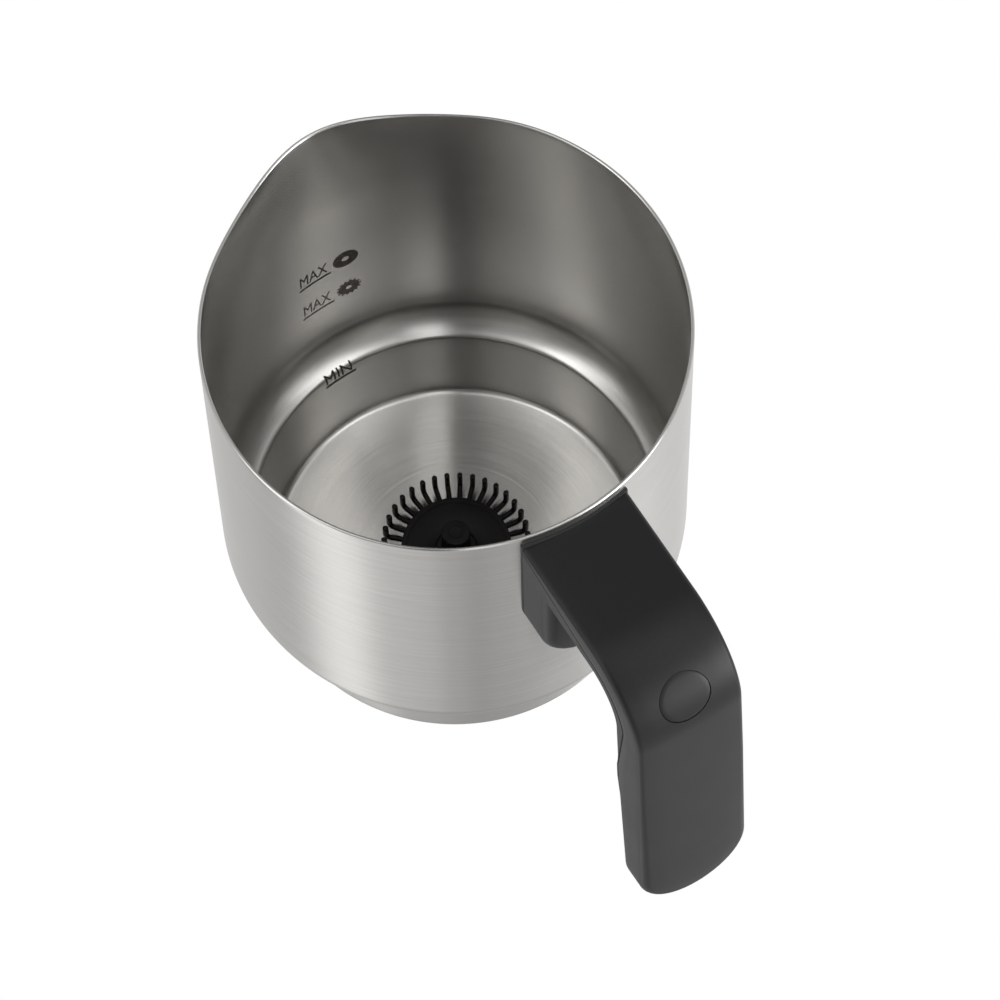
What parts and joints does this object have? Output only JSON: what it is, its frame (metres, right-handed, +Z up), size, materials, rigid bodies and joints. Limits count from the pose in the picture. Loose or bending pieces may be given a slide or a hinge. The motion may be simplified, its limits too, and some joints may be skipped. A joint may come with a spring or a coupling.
{
  "type": "milk frothing jug",
  "caption": "Spouted steel milk-frothing jug with a stepped foot, an open two-shell handle and a lift-off magnet-driven toothed whisk.",
  "frame": {"origin": "centre of the base's underside, on the axis of the jug, where it stands on a surface", "axes": "+Z up along the jug's axis, +X from the axis towards the handle, so the spout points along -X"},
  "size_m": [0.1729, 0.114, 0.121],
  "materials": {
    "brushed_steel": "satin, brushed round the axis",
    "aluminium": "bare rolled",
    "ferritic_steel": "satin",
    "turned_steel": "fine turned",
    "bearing_plastic": "satin",
    "spring_steel": "satin",
    "whisk_plastic": "fine satin",
    "nickel_plate": "plated",
    "silicone": "matt",
    "handle_plastic": "soft-touch matt",
    "brass": "turned",
    "cap_plastic": "satin"
  },
  "bodies": {
    "root": {"jug_shell": "brushed_steel", "heat_spreader": "aluminium", "induction_plate": "ferritic_steel", "spindle": "turned_steel", "weld_plate": "turned_steel", "handle_bracket": "turned_steel", "mount_screws": "nickel_plate", "mount_washers": "spring_steel", "pad_gasket": "silicone", "handle_liner": "handle_plastic", "handle_cover": "handle_plastic", "knee_screw": "nickel_plate", "knee_insert": "brass", "knee_cap": "cap_plastic", "grip_screws": "nickel_plate", "grip_inserts": "brass"},
    "sleeve": {"bearing_sleeve": "bearing_plastic", "sleeve_clip": "spring_steel"},
    "whisk": {"whisk_disc": "whisk_plastic", "froth_ring": "whisk_plastic", "whisk_magnets": "nickel_plate", "magnet_cover": "whisk_plastic", "whisk_knob": "whisk_plastic"}
  },
  "joints": [
    {"name": "whisk_lift", "type": "slide", "parent": "root", "child": "sleeve", "axis": [0, 0, 1], "range_m": [0, 0.13]},
    {"name": "whisk_spin", "type": "hinge", "parent": "sleeve", "child": "whisk", "pos_m": [0, 0, 0.005], "axis": [0, 0, 1], "continuous": true}
  ]
}
